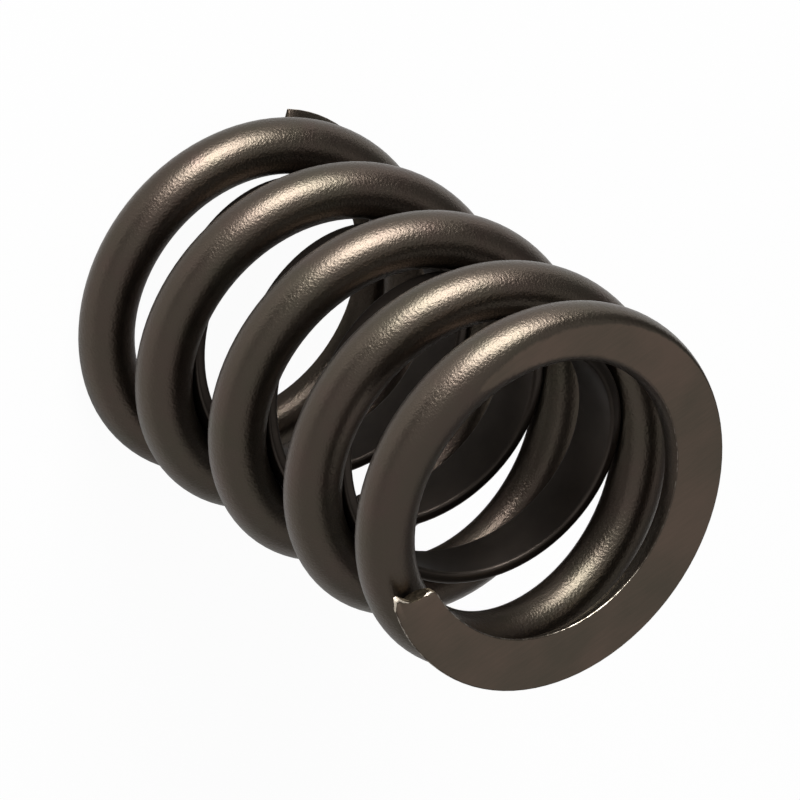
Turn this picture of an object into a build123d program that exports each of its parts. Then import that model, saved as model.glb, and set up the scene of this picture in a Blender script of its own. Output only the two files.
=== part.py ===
from build123d import *
from math import cos, pi, sin, sqrt
import os

# Engine valve spring that stands on its bottom ground face. The origin is the centre of that face
# and +Z is the spring's axis. Sizes are in millimetres, angles in degrees.

# Outer spring: round wire, a left-hand coil with closed and ground ends
outer_diameter = 31.75
wire_diameter = 4.57
free_length = 45.25
total_turns = 5.644
closed_turns = 0.58  # turns at each end that are wound at the closed pitch
opening_turns = 0.89  # turns in which the pitch then opens to the working pitch
tip_gap = 0.28  # between a wire tip and the coil that it lies on
top_tip_thickness = 1.08  # what the grinding leaves of the wire at its top tip
bottom_tip_thickness = 0.71
points_per_turn = 16

# Flat damper: a ribbon wound the other way, gripped by the inside of the coils
damper_clearance = 0.04  # radial, between the ribbon and the coils
ribbon_width = 4.6  # across the ribbon, at right angles to its run
ribbon_thickness = 1.0
ribbon_edge_radius = 0.32
damper_pitch = 10.62
damper_setback = 3.0  # from each ground face to the ribbon's nearest edge
damper_top_angle = 305.1  # where the ribbon's top end lies, from the top wire tip

wire_radius = wire_diameter / 2
coil_radius = (outer_diameter - wire_diameter) / 2
bore_radius = outer_diameter / 2 - wire_diameter

# Depth of the wire's centre inside each ground face, at its tip. It is negative, because the
# grinding takes more than half of the wire there.
top_tip_depth = top_tip_thickness - wire_radius
bottom_tip_depth = bottom_tip_thickness - wire_radius


def opened_share(turns):
    """Turns' worth of full opening that a ramp of opening_turns has given, turns from a tip."""
    x = (turns - closed_turns) / opening_turns
    if x <= 0:
        return 0.0
    if x < 1:
        return opening_turns * (x**3 - x**4 / 2)
    return opening_turns * (x - 0.5)


# The closed pitch leaves the tip gap after one turn, and the working pitch fills the free length.
half_turns = total_turns / 2
first_rise = wire_diameter + tip_gap
first_share = opened_share(1)
half_share = opened_share(half_turns)
half_rise = (free_length - top_tip_depth - bottom_tip_depth) / 2
opening = (half_rise - half_turns * first_rise) / (half_share - half_turns * first_share)
closed_pitch = first_rise - opening * first_share
working_pitch = closed_pitch + opening


def rise(turns):
    """Axial distance of the wire's centre from its nearer tip, so many turns along."""
    return closed_pitch * turns + opening * opened_share(turns)


def wire_point(turns):
    """Point of the wire's centre line, counted from the top tip, which lies on +X."""
    angle = 2 * pi * turns
    if turns < half_turns:
        height = free_length - top_tip_depth - rise(turns)
    else:
        height = bottom_tip_depth + rise(total_turns - turns)
    return (coil_radius * cos(angle), coil_radius * sin(angle), height)


with BuildPart() as outer_spring:
    with BuildLine() as wire_path:
        span_count = round(total_turns * points_per_turn)
        Spline([wire_point(total_turns * i / span_count) for i in range(span_count + 1)])
    with BuildSketch(wire_path.line ^ 0):
        Circle(wire_radius)
    sweep(path=wire_path.line, is_frenet=True)
    # Both ends are ground flat and square to the axis
    split(bisect_by=Plane.XY.offset(free_length), keep=Keep.BOTTOM)
    split(bisect_by=Plane.XY, keep=Keep.TOP)

ribbon_radius = bore_radius - damper_clearance - ribbon_thickness / 2
ribbon_slope = damper_pitch / (2 * pi * ribbon_radius)
ribbon_height = ribbon_width * sqrt(1 + ribbon_slope**2)
damper_rise = free_length - 2 * damper_setback - ribbon_height
damper_turns = damper_rise / damper_pitch
damper_bottom_angle = damper_top_angle - 360 * damper_turns

with BuildPart() as flat_damper:
    with BuildLine() as ribbon_path:
        ribbon_start = (0, 0, damper_setback + ribbon_height / 2)
        ribbon_helix = Helix(damper_pitch, damper_rise, ribbon_radius, ribbon_start, mode=Mode.PRIVATE)
        add(ribbon_helix.rotate(Axis.Z, damper_bottom_angle))
    with BuildSketch(ribbon_path.line ^ 0):
        RectangleRounded(ribbon_thickness, ribbon_width, ribbon_edge_radius)
    sweep(path=ribbon_path.line, is_frenet=True)

outer_spring.part.label = "outer_spring"
flat_damper.part.label = "flat_damper"

os.makedirs("parts", exist_ok=True)
export_step(outer_spring.part, "parts/outer_spring.step")
export_step(flat_damper.part, "parts/flat_damper.step")

print(f"closed pitch {closed_pitch:.3f}, working pitch {working_pitch:.3f}")
print(f"damper turns {damper_turns:.3f}, ribbon height {ribbon_height:.3f}")
for piece in (outer_spring.part, flat_damper.part):
    box = piece.bounding_box()
    print(piece.label, len(piece.solids()), round(piece.volume, 1), piece.is_valid, box.min, box.max)
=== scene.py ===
from math import atan, atan2, cos, exp, pi, radians, sin, sqrt, tau

import bmesh
import bpy
from mathutils import Matrix, Vector


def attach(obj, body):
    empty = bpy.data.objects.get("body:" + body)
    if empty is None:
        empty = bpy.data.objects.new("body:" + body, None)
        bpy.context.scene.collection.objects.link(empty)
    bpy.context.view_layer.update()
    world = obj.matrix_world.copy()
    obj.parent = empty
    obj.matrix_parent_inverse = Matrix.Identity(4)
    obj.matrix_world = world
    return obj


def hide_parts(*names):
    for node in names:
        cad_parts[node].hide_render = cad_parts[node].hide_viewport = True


# Engine valve spring with a flat ribbon damper, standing on its ground end.
# Lengths in the dictionaries are in millimetres, the scene itself is in metres.
mm = 0.001

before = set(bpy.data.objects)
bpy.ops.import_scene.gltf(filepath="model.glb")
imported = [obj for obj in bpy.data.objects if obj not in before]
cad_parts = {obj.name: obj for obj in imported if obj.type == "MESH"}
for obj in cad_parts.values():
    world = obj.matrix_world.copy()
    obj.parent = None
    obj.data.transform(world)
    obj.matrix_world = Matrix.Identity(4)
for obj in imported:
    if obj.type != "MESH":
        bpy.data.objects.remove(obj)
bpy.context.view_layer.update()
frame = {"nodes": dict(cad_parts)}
print("frame loaded:", ", ".join(frame["nodes"]))


# Shader maths: an expression on signals adds the Math nodes that it needs
class Signal:
    def __init__(self, finish, socket):
        self.finish = finish
        self.socket = socket

    def combine(self, operation, first, second):
        return self.finish.node("ShaderNodeMath", {"operation": operation}, {0: first, 1: second})

    def __add__(self, other):
        return self.combine("ADD", self, other)

    def __radd__(self, other):
        return self.combine("ADD", other, self)

    def __sub__(self, other):
        return self.combine("SUBTRACT", self, other)

    def __rsub__(self, other):
        return self.combine("SUBTRACT", other, self)

    def __mul__(self, other):
        return self.combine("MULTIPLY", self, other)

    def __rmul__(self, other):
        return self.combine("MULTIPLY", other, self)


class Finish:
    def __init__(self, name):
        self.material = bpy.data.materials.new(name)
        self.material.use_nodes = True
        self.tree = self.material.node_tree
        self.tree.nodes.clear()

    # One node of the given type: its settings come first, then the values or links of its sockets
    def node(self, kind, settings, sockets, output=0):
        made = self.tree.nodes.new(kind)
        for name, value in settings.items():
            if name == "stops":
                ramp = made.color_ramp
                while len(ramp.elements) < len(value):
                    ramp.elements.new(0.5)
                for stop, (place, level) in zip(ramp.elements, value):
                    stop.position = place
                    stop.color = (level, level, level, 1)
            else:
                setattr(made, name, value)
        for name, value in sockets.items():
            if isinstance(value, Signal):
                self.tree.links.new(value.socket, made.inputs[name])
            else:
                made.inputs[name].default_value = value
        return Signal(self, made.outputs[output]) if made.outputs else None

    def place(self):
        return self.node("ShaderNodeTexCoord", {}, {}, "Object")

    def attribute(self, name):
        return self.node("ShaderNodeAttribute", {"attribute_name": name}, {}, "Fac")

    # Noise and dimples of about the given size in millimetres
    def noise(self, place, size, detail=2.0, sharpness=0.5):
        sockets = {"Vector": place, "Scale": 1 / (size * mm), "Detail": detail, "Roughness": sharpness}
        return self.node("ShaderNodeTexNoise", {}, sockets)

    def dimples(self, place, size, smoothness):
        sockets = {"Vector": place, "Scale": 1 / (size * mm), "Smoothness": smoothness}
        return self.node("ShaderNodeTexVoronoi", {"feature": "SMOOTH_F1"}, sockets, "Distance")

    def stretch(self, place, turn, scale):
        sockets = {"Vector": place, "Rotation": (0, 0, radians(turn)), "Scale": scale}
        return self.node("ShaderNodeMapping", {}, sockets)

    # Rises from 0 to 1 between the two values
    def step(self, value, low=0.35, high=0.65):
        return self.node("ShaderNodeValToRGB", {"stops": [(low, 0), (high, 1)]}, {"Fac": value})

    def blend(self, share, first, second):
        return self.node("ShaderNodeMix", {"data_type": "RGBA"}, {0: share, 6: first, 7: second}, 2)

    # Relief of the given depth in millimetres
    def relief(self, height, depth):
        sockets = {"Strength": 1.0, "Distance": depth * mm, "Height": height}
        return self.node("ShaderNodeBump", {}, sockets)

    def bareMetal(self, colour, roughness, relief):
        sockets = {"Base Color": colour, "Metallic": 1.0, "Roughness": roughness, "Normal": relief}
        return self.close(self.node("ShaderNodeBsdfPrincipled", {}, sockets))

    def close(self, shader):
        self.node("ShaderNodeOutputMaterial", {}, {"Surface": shader})
        return self.material


# Make a mesh in millimetres into a finished piece of the part
def makePiece(name, bm, sharpAngle):
    bmesh.ops.scale(bm, vec=(mm, mm, mm), verts=bm.verts)
    bmesh.ops.recalc_face_normals(bm, faces=bm.faces)
    mesh = bpy.data.meshes.new(name)
    bm.to_mesh(mesh)
    bm.free()
    mesh.shade_smooth()
    mesh.set_sharp_from_angle(angle=radians(sharpAngle))
    piece = bpy.data.objects.new(name, mesh)
    bpy.context.scene.collection.objects.link(piece)
    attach(piece, "root")
    return piece


# Outer spring
outerCoil = {
    "outerDiameter": 31.75,
    "wireDiameter": 4.57,
    "freeLength": 45.25,
    "turns": 5.644,
    "closedTurns": 0.58,  # turns at each end that are wound at the closed pitch
    "openingTurns": 0.89,  # turns in which the pitch then opens
    "tipGap": 0.28,  # between a wire tip and the coil that it lies on
    "topTip": 1.08,  # what the grinding leaves of the wire at its top tip
    "bottomTip": 0.71,
    "topFlare": (0.16, 0.08),  # how far each tip springs outwards, and over how many turns
    "bottomFlare": (0.52, 0.11),
    "sides": 72,  # mesh sides round the wire, and steps along each turn of it
    "stepsPerTurn": 96,
    "sharpAngle": 60,
    "edgeRounding": 0.09,  # how far the ground face's edges are rounded over
    "outerRunOut": 1.2,  # the same where the ground face runs out, on its outer and inner sides
    "innerRunOut": 0.45,
    "runOutFrom": 0.46,  # turns from the tip
    "runOutTo": 0.74,
    "skinBlend": 0.03,  # half width of the change from ground face to skin, and what the run-out adds
    "runOutBlend": 0.7,
    "flatSteps": 8,  # mesh steps across half the ground face, and round its edge
    "edgeSteps": 5,
    "edgeSupport": 0.04,  # how far the mesh lines beside the edge lie from it
    "wornMargin": 0.05,  # how far the wear reaches past the rounding on each side
    "edgeWear": 0.2,  # how bright the worn edges are
    "tipWear": (0.4, 0.07),  # what the tip adds, and over how many turns
    "innerWear": (0.5, 0.25, 0.05),  # what the inner edge adds, how many turns from the tip, and over how many
    "tipBevel": 0.025,  # of the wire's two cut ends
    # how far the top tip reaches past its mean line, by the distance outwards from the wire's middle
    "tipLine": [
        (-1.99, -0.77), (-1.58, -0.17), (-0.91, -0.14), (-0.19, -0.09), (0.38, 0.08),
        (0.9, 0.5), (1.37, 1.45), (1.67, 0.8), (1.95, 0),
    ],
    "tipDepth": 0.9,  # how far below the ground face that line is lost
    "burrs": [(1.35, 0.45, 0.42), (-1.27, 0.26, 0.18)],  # place, half length and size of each burr along it
    "burrShine": 10,  # wear for each millimetre of a burr's size
    "burrFade": 4,  # how fast a burr is lost below the ground face
}
wireRadius = outerCoil["wireDiameter"] / 2
coilRadius = outerCoil["outerDiameter"] / 2 - wireRadius
boreRadius = coilRadius - wireRadius
topDepth = outerCoil["topTip"] - wireRadius
bottomDepth = outerCoil["bottomTip"] - wireRadius
halfTurns = outerCoil["turns"] / 2


def smoothShare(value, low, high):
    share = min(1, max(0, (value - low) / (high - low)))
    return share * share * (3 - 2 * share)


# Turns' worth of full opening that the pitch has had, so many turns from a tip
def openedShare(turns):
    x = (turns - outerCoil["closedTurns"]) / outerCoil["openingTurns"]
    if x <= 0:
        return 0.0
    if x < 1:
        return outerCoil["openingTurns"] * (x**3 - x**4 / 2)
    return outerCoil["openingTurns"] * (x - 0.5)


firstRise = outerCoil["wireDiameter"] + outerCoil["tipGap"]
halfRise = (outerCoil["freeLength"] - topDepth - bottomDepth) / 2
openingPitch = (halfRise - halfTurns * firstRise) / (openedShare(halfTurns) - halfTurns * openedShare(1))
closedPitch = firstRise - openingPitch * openedShare(1)


# Centre of the wire, so many turns from its top tip
def wireCentre(turns):
    left = outerCoil["turns"] - turns
    if turns < halfTurns:
        height = outerCoil["freeLength"] - topDepth - closedPitch * turns - openingPitch * openedShare(turns)
    else:
        height = bottomDepth + closedPitch * left + openingPitch * openedShare(left)
    reach = coilRadius
    for (size, length), tipTurns in ((outerCoil["topFlare"], turns), (outerCoil["bottomFlare"], left)):
        reach += size * (1 - smoothShare(tipTurns, 0, length))
    return Vector((reach * cos(tau * turns), reach * sin(tau * turns), height))


# The wire's run, and the outward and upward directions of its section
def wireAxes(turns):
    nudge = 0.0005
    run = (wireCentre(turns + nudge) - wireCentre(turns - nudge)).normalized()
    upward = (Vector((0, 0, 1)) - run * run.z).normalized()
    return run, run.cross(upward), upward



# Half of the wire's section, from the middle of its ground side round to its far side. Each place
# has its two coordinates, its share of ground surface and its share of worn edge.
def halfSection(depth, tipTurns, runOut):
    steps = outerCoil["sides"] // 2
    looseness = smoothShare(tipTurns, outerCoil["runOutFrom"], outerCoil["runOutTo"])
    rounding = outerCoil["edgeRounding"] + (runOut - outerCoil["edgeRounding"]) * looseness
    reach = (wireRadius - rounding) ** 2 - (depth - rounding) ** 2
    isCut = depth < wireRadius and reach > 0
    flat = sqrt(reach) if isCut else 0.0
    turn = atan2(flat, depth - rounding) if isCut else 0.0
    edge = rounding * turn
    total = flat + edge + (pi - turn) * wireRadius
    insideEdge = flat if isCut else -sqrt(max(0, -reach))
    # the mesh steps at which the section changes, and how far along it they lie
    edgeFrom = outerCoil["flatSteps"]
    edgeTo = edgeFrom + outerCoil["edgeSteps"]
    support = outerCoil["edgeSupport"]
    knots = [
        (0, 0), (edgeFrom - 1, flat - support), (edgeFrom, flat),
        (edgeTo, flat + edge), (edgeTo + 1, flat + edge + support), (steps, total),
    ]
    softness = outerCoil["skinBlend"] + outerCoil["runOutBlend"] * looseness
    places = []
    for i in range(steps + 1):
        along = total * i / steps
        if looseness < 1:
            (low, start), (high, end) = next((a, b) for a, b in zip(knots, knots[1:]) if i <= b[0])
            onKnots = start + (end - start) * (i - low) / (high - low)
            along = along * looseness + onKnots * (1 - looseness)
        if along < flat:
            x, y = along, depth
        elif along < flat + edge:
            a = (along - flat) / rounding
            x, y = flat + rounding * sin(a), depth - rounding + rounding * cos(a)
        else:
            a = turn + (along - flat - edge) / wireRadius
            x, y = wireRadius * sin(a), wireRadius * cos(a)
        ground = smoothShare(insideEdge - along, -softness, softness)
        offEdge = abs(along - flat - edge / 2) / (edge / 2 + outerCoil["wornMargin"])
        worn = max(0, 1 - offEdge) * (1 - looseness)
        places.append((x, y, ground, worn if isCut else 0.0))
    return places


# How bright the worn edges of a ground face are: most at the tip, and on the inner edge past it
def edgeWear(tipTurns, isInner):
    size, length = outerCoil["tipWear"]
    wear = outerCoil["edgeWear"] + size * exp(-((tipTurns / length) ** 2))
    if isInner:
        size, place, length = outerCoil["innerWear"]
        wear += size * exp(-(((tipTurns - place) / length) ** 2))
    return wear


def tipReach(outwards):
    line = outerCoil["tipLine"]
    if outwards <= line[0][0]:
        return line[0][1]
    for (low, start), (high, end) in zip(line, line[1:]):
        if outwards <= high:
            return start + (end - start) * (outwards - low) / (high - low)
    return line[-1][1]


# Move a place of the top tip to its torn line. The result is the size of its burr.
def tearTip(vert, run, outwards, below):
    nearness = 1 - smoothShare(below, 0, outerCoil["tipDepth"])
    vert.co -= Vector((run.x, run.y, 0)) * tipReach(outwards) * nearness
    burr = sum(size * exp(-(((outwards - at) / length) ** 2)) for at, length, size in outerCoil["burrs"])
    return burr * nearness ** outerCoil["burrFade"]


def extrudeRim(bm, edges):
    grown = bmesh.ops.extrude_edge_only(bm, edges=edges)["geom"]
    kinds = (bmesh.types.BMVert, bmesh.types.BMEdge, bmesh.types.BMFace)
    return [[part for part in grown if isinstance(part, kind)] for kind in kinds]


# Bevel and close the wire's end. The burrs are the larger bevels that some of its places have.
def closeTip(bm, wear, edges, away, burrs):
    ring = dict.fromkeys(v for e in edges for v in e.verts)
    middle = sum((v.co for v in ring), Vector()) / len(ring)
    level = Vector((away.x, away.y, 0)).normalized()
    bevel = outerCoil["tipBevel"]
    rim, rimEdges, rimFaces = extrudeRim(bm, edges)
    for v in rim:
        source = next(e.other_vert(v) for e in v.link_edges if e.other_vert(v) in ring)
        burr = burrs.get(source, 0.0)
        v.co += (middle - v.co).normalized() * bevel - Vector((0, 0, burr))
        v[wear] = min(1, outerCoil["burrShine"] * burr)
        source.co -= level * (bevel + burr)
    inner, innerEdges, innerFaces = extrudeRim(bm, rimEdges)
    for v in inner:
        v.co += (middle - v.co).normalized() * bevel
        v[wear] = 0.0
    made = bmesh.ops.contextual_create(bm, geom=innerEdges)
    for face in made["faces"] + rimFaces + innerFaces:
        face.material_index = 1


def windWire():
    bm = bmesh.new()
    ground = bm.verts.layers.float.new("ground")
    wear = bm.verts.layers.float.new("wear")
    sides = outerCoil["sides"]
    bmesh.ops.create_circle(bm, segments=sides, radius=wireRadius)
    bmesh.ops.rotate(bm, cent=(0, 0, 0), matrix=Matrix.Rotation(pi / 2, 3, "X"), verts=bm.verts)
    bmesh.ops.translate(bm, vec=(coilRadius, 0, outerCoil["freeLength"]), verts=bm.verts)
    firstEdges = list(bm.edges)
    # wound at an even pitch, and each ring then takes its own height, tilt and ground section
    steps = round(outerCoil["turns"] * outerCoil["stepsPerTurn"])
    last = bmesh.ops.spin(
        bm, geom=list(bm.verts) + firstEdges, cent=(0, 0, 0), axis=(0, 0, 1),
        dvec=(0, 0, -outerCoil["freeLength"] / steps), angle=tau * outerCoil["turns"], steps=steps,
    )["geom_last"]
    lastEdges = [part for part in last if isinstance(part, bmesh.types.BMEdge)]
    burrs = {}
    verts = list(bm.verts)
    for ring in range(steps + 1):
        turns = outerCoil["turns"] * ring / steps
        isTop = turns < halfTurns
        tipTurns = turns if isTop else outerCoil["turns"] - turns
        centre = wireCentre(turns)
        run, outward, upward = wireAxes(turns)
        depth = (outerCoil["freeLength"] - centre.z if isTop else centre.z) / upward.z
        halves = [halfSection(depth, tipTurns, outerCoil[runOut]) for runOut in ("outerRunOut", "innerRunOut")]
        for side, vert in enumerate(verts[ring * sides:(ring + 1) * sides]):
            place = side if isTop else (sides // 2 - side) % sides
            isInner = place > sides // 2
            x, y, vert[ground], worn = halves[isInner][min(place, sides - place)]
            outwards = -x if isInner else x
            vert.co = centre + outward * outwards + upward * (y if isTop else -y)
            if ring == 0:
                vert[wear] = 0.0
                burrs[vert] = tearTip(vert, run, outwards, depth - y)
            else:
                vert[wear] = worn * edgeWear(tipTurns, isInner)
    closeTip(bm, wear, firstEdges, -wireAxes(0)[0], burrs)
    closeTip(bm, wear, lastEdges, wireAxes(outerCoil["turns"])[0], {})
    return bm


outerSpring = makePiece("outerSpring", windWire(), outerCoil["sharpAngle"])
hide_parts("outer_spring")
print("outer spring wound:", len(outerSpring.data.polygons), "faces")

# Flat damper
ribbon = {
    "clearance": 0.04,  # radial, between the ribbon and the coils
    "width": 4.6,
    "thickness": 1.0,
    "edgeRadius": 0.32,
    "pitch": 10.62,
    "setback": 3.0,  # from each ground face to the ribbon's nearest edge
    "topAngle": 305.1,  # where the ribbon's top end lies, from the wire's top tip
    "edgeSteps": 5,
    "stepsPerTurn": 90,
    "sharpAngle": 50,
}
ribbonRadius = boreRadius - ribbon["clearance"] - ribbon["thickness"] / 2
ribbonSlope = atan(ribbon["pitch"] / (tau * ribbonRadius))
ribbonHeight = ribbon["width"] / cos(ribbonSlope)
ribbonTurns = (outerCoil["freeLength"] - 2 * ribbon["setback"] - ribbonHeight) / ribbon["pitch"]


def windRibbon():
    bm = bmesh.new()
    bmesh.ops.create_grid(bm, x_segments=1, y_segments=1, size=0.5)
    bmesh.ops.scale(bm, vec=(ribbon["thickness"], ribbon["width"], 1), verts=bm.verts)
    bmesh.ops.bevel(
        bm, geom=list(bm.verts), offset=ribbon["edgeRadius"], offset_type="OFFSET", affect="VERTICES",
        segments=ribbon["edgeSteps"], profile=0.5, material=-1,
    )
    bmesh.ops.delete(bm, geom=list(bm.faces), context="FACES_ONLY")
    startAngle = radians(ribbon["topAngle"]) - tau * ribbonTurns
    startHeight = ribbon["setback"] + ribbonHeight / 2
    bmesh.ops.rotate(bm, cent=(0, 0, 0), matrix=Matrix.Rotation(pi / 2 + ribbonSlope, 3, "X"), verts=bm.verts)
    bmesh.ops.translate(bm, vec=(ribbonRadius, 0, startHeight), verts=bm.verts)
    bmesh.ops.rotate(bm, cent=(0, 0, 0), matrix=Matrix.Rotation(startAngle, 3, "Z"), verts=bm.verts)
    firstEdges = list(bm.edges)
    steps = round(ribbonTurns * ribbon["stepsPerTurn"])
    last = bmesh.ops.spin(
        bm, geom=list(bm.verts) + firstEdges, cent=(0, 0, 0), axis=(0, 0, 1),
        dvec=(0, 0, ribbon["pitch"] * ribbonTurns / steps), angle=tau * ribbonTurns, steps=steps,
    )["geom_last"]
    bmesh.ops.contextual_create(bm, geom=firstEdges)
    bmesh.ops.contextual_create(bm, geom=[part for part in last if isinstance(part, bmesh.types.BMEdge)])
    return bm


flatDamper = makePiece("flatDamper", windRibbon(), ribbon["sharpAngle"])
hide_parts("flat_damper")
print("flat damper wound:", len(flatDamper.data.polygons), "faces")

# Finishes. A size is that of one patch, dimple or grain.
wireSteel = {
    "colour": (0.092, 0.0745, 0.059, 1),
    "olive": (0.087, 0.075, 0.057, 1),
    "red": (0.097, 0.073, 0.06, 1),
    "tintSize": 7,  # patches of olive and red, and of either with the plain colour
    "colourSize": 3,
    "roughness": 0.33,
    "roughnessSize": 1.5,
    "roughnessSpread": 0.08,
    "dimpleSize": 0.22,
    "dimpleDepth": 0.018,
    "dimpleSoftness": 0.7,
    "grainSize": 0.13,
    "grainDepth": 0.021,
}
groundSteel = {
    "colour": (0.12, 0.099, 0.076, 1),
    "brown": (0.165, 0.121, 0.094, 1),
    "brownSize": 8,
    "roughness": 0.42,
    "markSize": 0.25,
    "markStretch": 0.12,
    "markTurn": 20,  # direction of the grinding marks
    "markDepth": 0.004,
    "markShade": 0.3,  # how far the marks shift the change to brown
    "edgeSize": 0.5,  # unevenness of the ground face's edge
    "edgeSpread": 0.5,
    "worn": (0.7, 0.62, 0.52, 1),  # bright metal of worn edges and burrs
    "wornSize": 0.7,
}


# The dimpled skin of the wire, its ground faces and their worn edges
def peenedSteel():
    f = Finish("peenedSteel")
    place = f.place()
    unevenness = (f.noise(place, groundSteel["edgeSize"], detail=3) - 0.5) * groundSteel["edgeSpread"]
    ground = f.step(f.attribute("ground") + unevenness)
    worn = f.attribute("wear") * f.step(f.noise(place, groundSteel["wornSize"], detail=3, sharpness=0.6), high=0.6)
    patches = f.step(f.noise(place, wireSteel["tintSize"]), low=0.4, high=0.6)
    tint = f.blend(patches, wireSteel["olive"], wireSteel["red"])
    skin = f.blend(f.step(f.noise(place, wireSteel["colourSize"], detail=3)), tint, wireSteel["colour"])
    along = f.stretch(place, groundSteel["markTurn"], (groundSteel["markStretch"], 1, 1))
    marks = f.noise(along, groundSteel["markSize"], detail=3, sharpness=0.6)
    brown = f.step(f.noise(place, groundSteel["brownSize"]) + (marks - 0.5) * groundSteel["markShade"])
    flat = f.blend(brown, groundSteel["colour"], groundSteel["brown"])
    colour = f.blend(f.step(worn, low=0.1, high=0.5), f.blend(ground, skin, flat), groundSteel["worn"])
    dimples = f.dimples(place, wireSteel["dimpleSize"], wireSteel["dimpleSoftness"]) * wireSteel["dimpleDepth"]
    grain = f.noise(place, wireSteel["grainSize"], sharpness=0.6) * wireSteel["grainDepth"]
    height = (dimples + grain) * (1 - ground) + marks * ground * groundSteel["markDepth"]
    roughness = (f.noise(place, wireSteel["roughnessSize"]) - 0.5) * wireSteel["roughnessSpread"]
    roughness = roughness + wireSteel["roughness"] + ground * (groundSteel["roughness"] - wireSteel["roughness"])
    return f.bareMetal(colour, roughness, f.relief(height, 1))


tornSteel = {
    "dark": (0.035, 0.027, 0.018, 1),
    "colour": (0.08, 0.064, 0.044, 1),
    "grainSize": 0.25,
    "grainDepth": 0.03,
    "roughness": 0.48,
}


# The broken face of each tip, bright on its burrs
def shearedSteel():
    f = Finish("shearedSteel")
    grain = f.noise(f.place(), tornSteel["grainSize"], detail=3)
    torn = f.blend(f.step(grain, low=0.4), tornSteel["dark"], tornSteel["colour"])
    colour = f.blend(f.step(f.attribute("wear"), low=0.08, high=0.4), torn, groundSteel["worn"])
    return f.bareMetal(colour, tornSteel["roughness"], f.relief(grain, tornSteel["grainDepth"]))


# The ribbon's colour and dark are set darker than the wire's steel: partly its own tone, partly painted shade for
# the bore it lies in.
ribbonSteel = {
    "colour": (0.066, 0.054, 0.046, 1),
    "dark": (0.047, 0.039, 0.033, 1),
    "cloudSize": 5,
    "grainSize": 0.25,
    "grainDepth": 0.006,
    "roughness": 0.4,
    "roughnessSpread": 0.15,
}


def rolledSteel():
    f = Finish("rolledSteel")
    place = f.place()
    cloud = f.noise(place, ribbonSteel["cloudSize"], detail=3)
    colour = f.blend(f.step(cloud), ribbonSteel["colour"], ribbonSteel["dark"])
    roughness = (cloud - 0.5) * ribbonSteel["roughnessSpread"] + ribbonSteel["roughness"]
    grain = f.noise(place, ribbonSteel["grainSize"], detail=3, sharpness=0.6)
    return f.bareMetal(colour, roughness, f.relief(grain, ribbonSteel["grainDepth"]))


for material in (peenedSteel(), shearedSteel()):
    outerSpring.data.materials.append(material)
flatDamper.data.materials.append(rolledSteel())
print("finishes made")

# Floor, light and camera
studio = {
    "floorReach": 3000,
    "floorWhite": 0.96,  # share of plain white in what the camera sees of the floor, and in its reflections
    "floorGloss": 0.15,
    "paper": 0.75,
    "worldLevel": 0.16,
    "fillDirection": (0.42, 0.14, 0.9),  # a wide dim disk overhead
    "fillDistance": 520,
    "fillDiameter": 2300,
    "fillLevel": 0.39,
    "keyDirection": (-0.307, -0.900, 0.309),  # a smaller bright one, low at the side
    "keyDistance": 500,
    "keyDiameter": 345,
    "keyLevel": 18,
    "cameraPlace": (168.03, -319.78, 424.14),
    "cameraTurn": (-26.852, -33.683, 160.084),
    "cameraLens": 307.5,
    "cameraSensor": 36,
    "cameraNear": 10,
    "cameraFar": 10000,
}


def layFloor():
    bm = bmesh.new()
    bmesh.ops.create_grid(bm, x_segments=1, y_segments=1, size=studio["floorReach"] * mm)
    mesh = bpy.data.meshes.new("floor")
    bm.to_mesh(mesh)
    bm.free()
    floor = bpy.data.objects.new("floor", mesh)
    bpy.context.scene.collection.objects.link(floor)
    f = Finish("paleFloor")
    rays = ("Is Camera Ray", "Is Glossy Ray", "Is Transmission Ray")
    cameraRay, glossyRay, clearRay = [f.node("ShaderNodeLightPath", {}, {}, ray) for ray in rays]
    whole = f.node("ShaderNodeMath", {"operation": "MINIMUM"}, {0: cameraRay + clearRay, 1: 1.0})
    seen = whole * studio["floorWhite"] + (1 - whole) * glossyRay * studio["floorGloss"]
    paper = f.node("ShaderNodeBsdfDiffuse", {}, {"Color": (studio["paper"],) * 3 + (1,)})
    white = f.node("ShaderNodeEmission", {}, {"Color": (1, 1, 1, 1), "Strength": 1.0})
    mesh.materials.append(f.close(f.node("ShaderNodeMixShader", {}, {0: seen, 1: paper, 2: white})))


# A round soft light of the given radiance, aimed at the middle of the spring
def hangLight(name, towards, distance, diameter, level):
    light = bpy.data.lights.new(name, "AREA")
    light.shape = "DISK"
    light.size = diameter * mm
    light.energy = level * pi * (pi * (light.size / 2) ** 2)
    lamp = bpy.data.objects.new(name, light)
    towards = Vector(towards).normalized()
    lamp.location = Vector((0, 0, outerCoil["freeLength"] / 2 * mm)) + towards * distance * mm
    lamp.rotation_euler = towards.to_track_quat("Z", "Y").to_euler()
    lamp.visible_camera = False
    bpy.context.scene.collection.objects.link(lamp)


layFloor()
hangLight("softbox", studio["keyDirection"], studio["keyDistance"], studio["keyDiameter"], studio["keyLevel"])
hangLight("fill", studio["fillDirection"], studio["fillDistance"], studio["fillDiameter"], studio["fillLevel"])

world = bpy.data.worlds.new("studio")
world.use_nodes = True
world.node_tree.nodes["Background"].inputs["Color"].default_value = (1, 1, 1, 1)
world.node_tree.nodes["Background"].inputs["Strength"].default_value = studio["worldLevel"]
bpy.context.scene.world = world

camera = bpy.data.cameras.new("camera")
camera.lens = studio["cameraLens"]
camera.sensor_width = studio["cameraSensor"]
camera.clip_start = studio["cameraNear"] * mm
camera.clip_end = studio["cameraFar"] * mm
cameraObject = bpy.data.objects.new("camera", camera)
cameraObject.location = Vector(studio["cameraPlace"]) * mm
cameraObject.rotation_euler = [radians(a) for a in studio["cameraTurn"]]
bpy.context.scene.collection.objects.link(cameraObject)
bpy.context.scene.camera = cameraObject
bpy.context.scene.view_settings.view_transform = "Standard"
print("studio set")
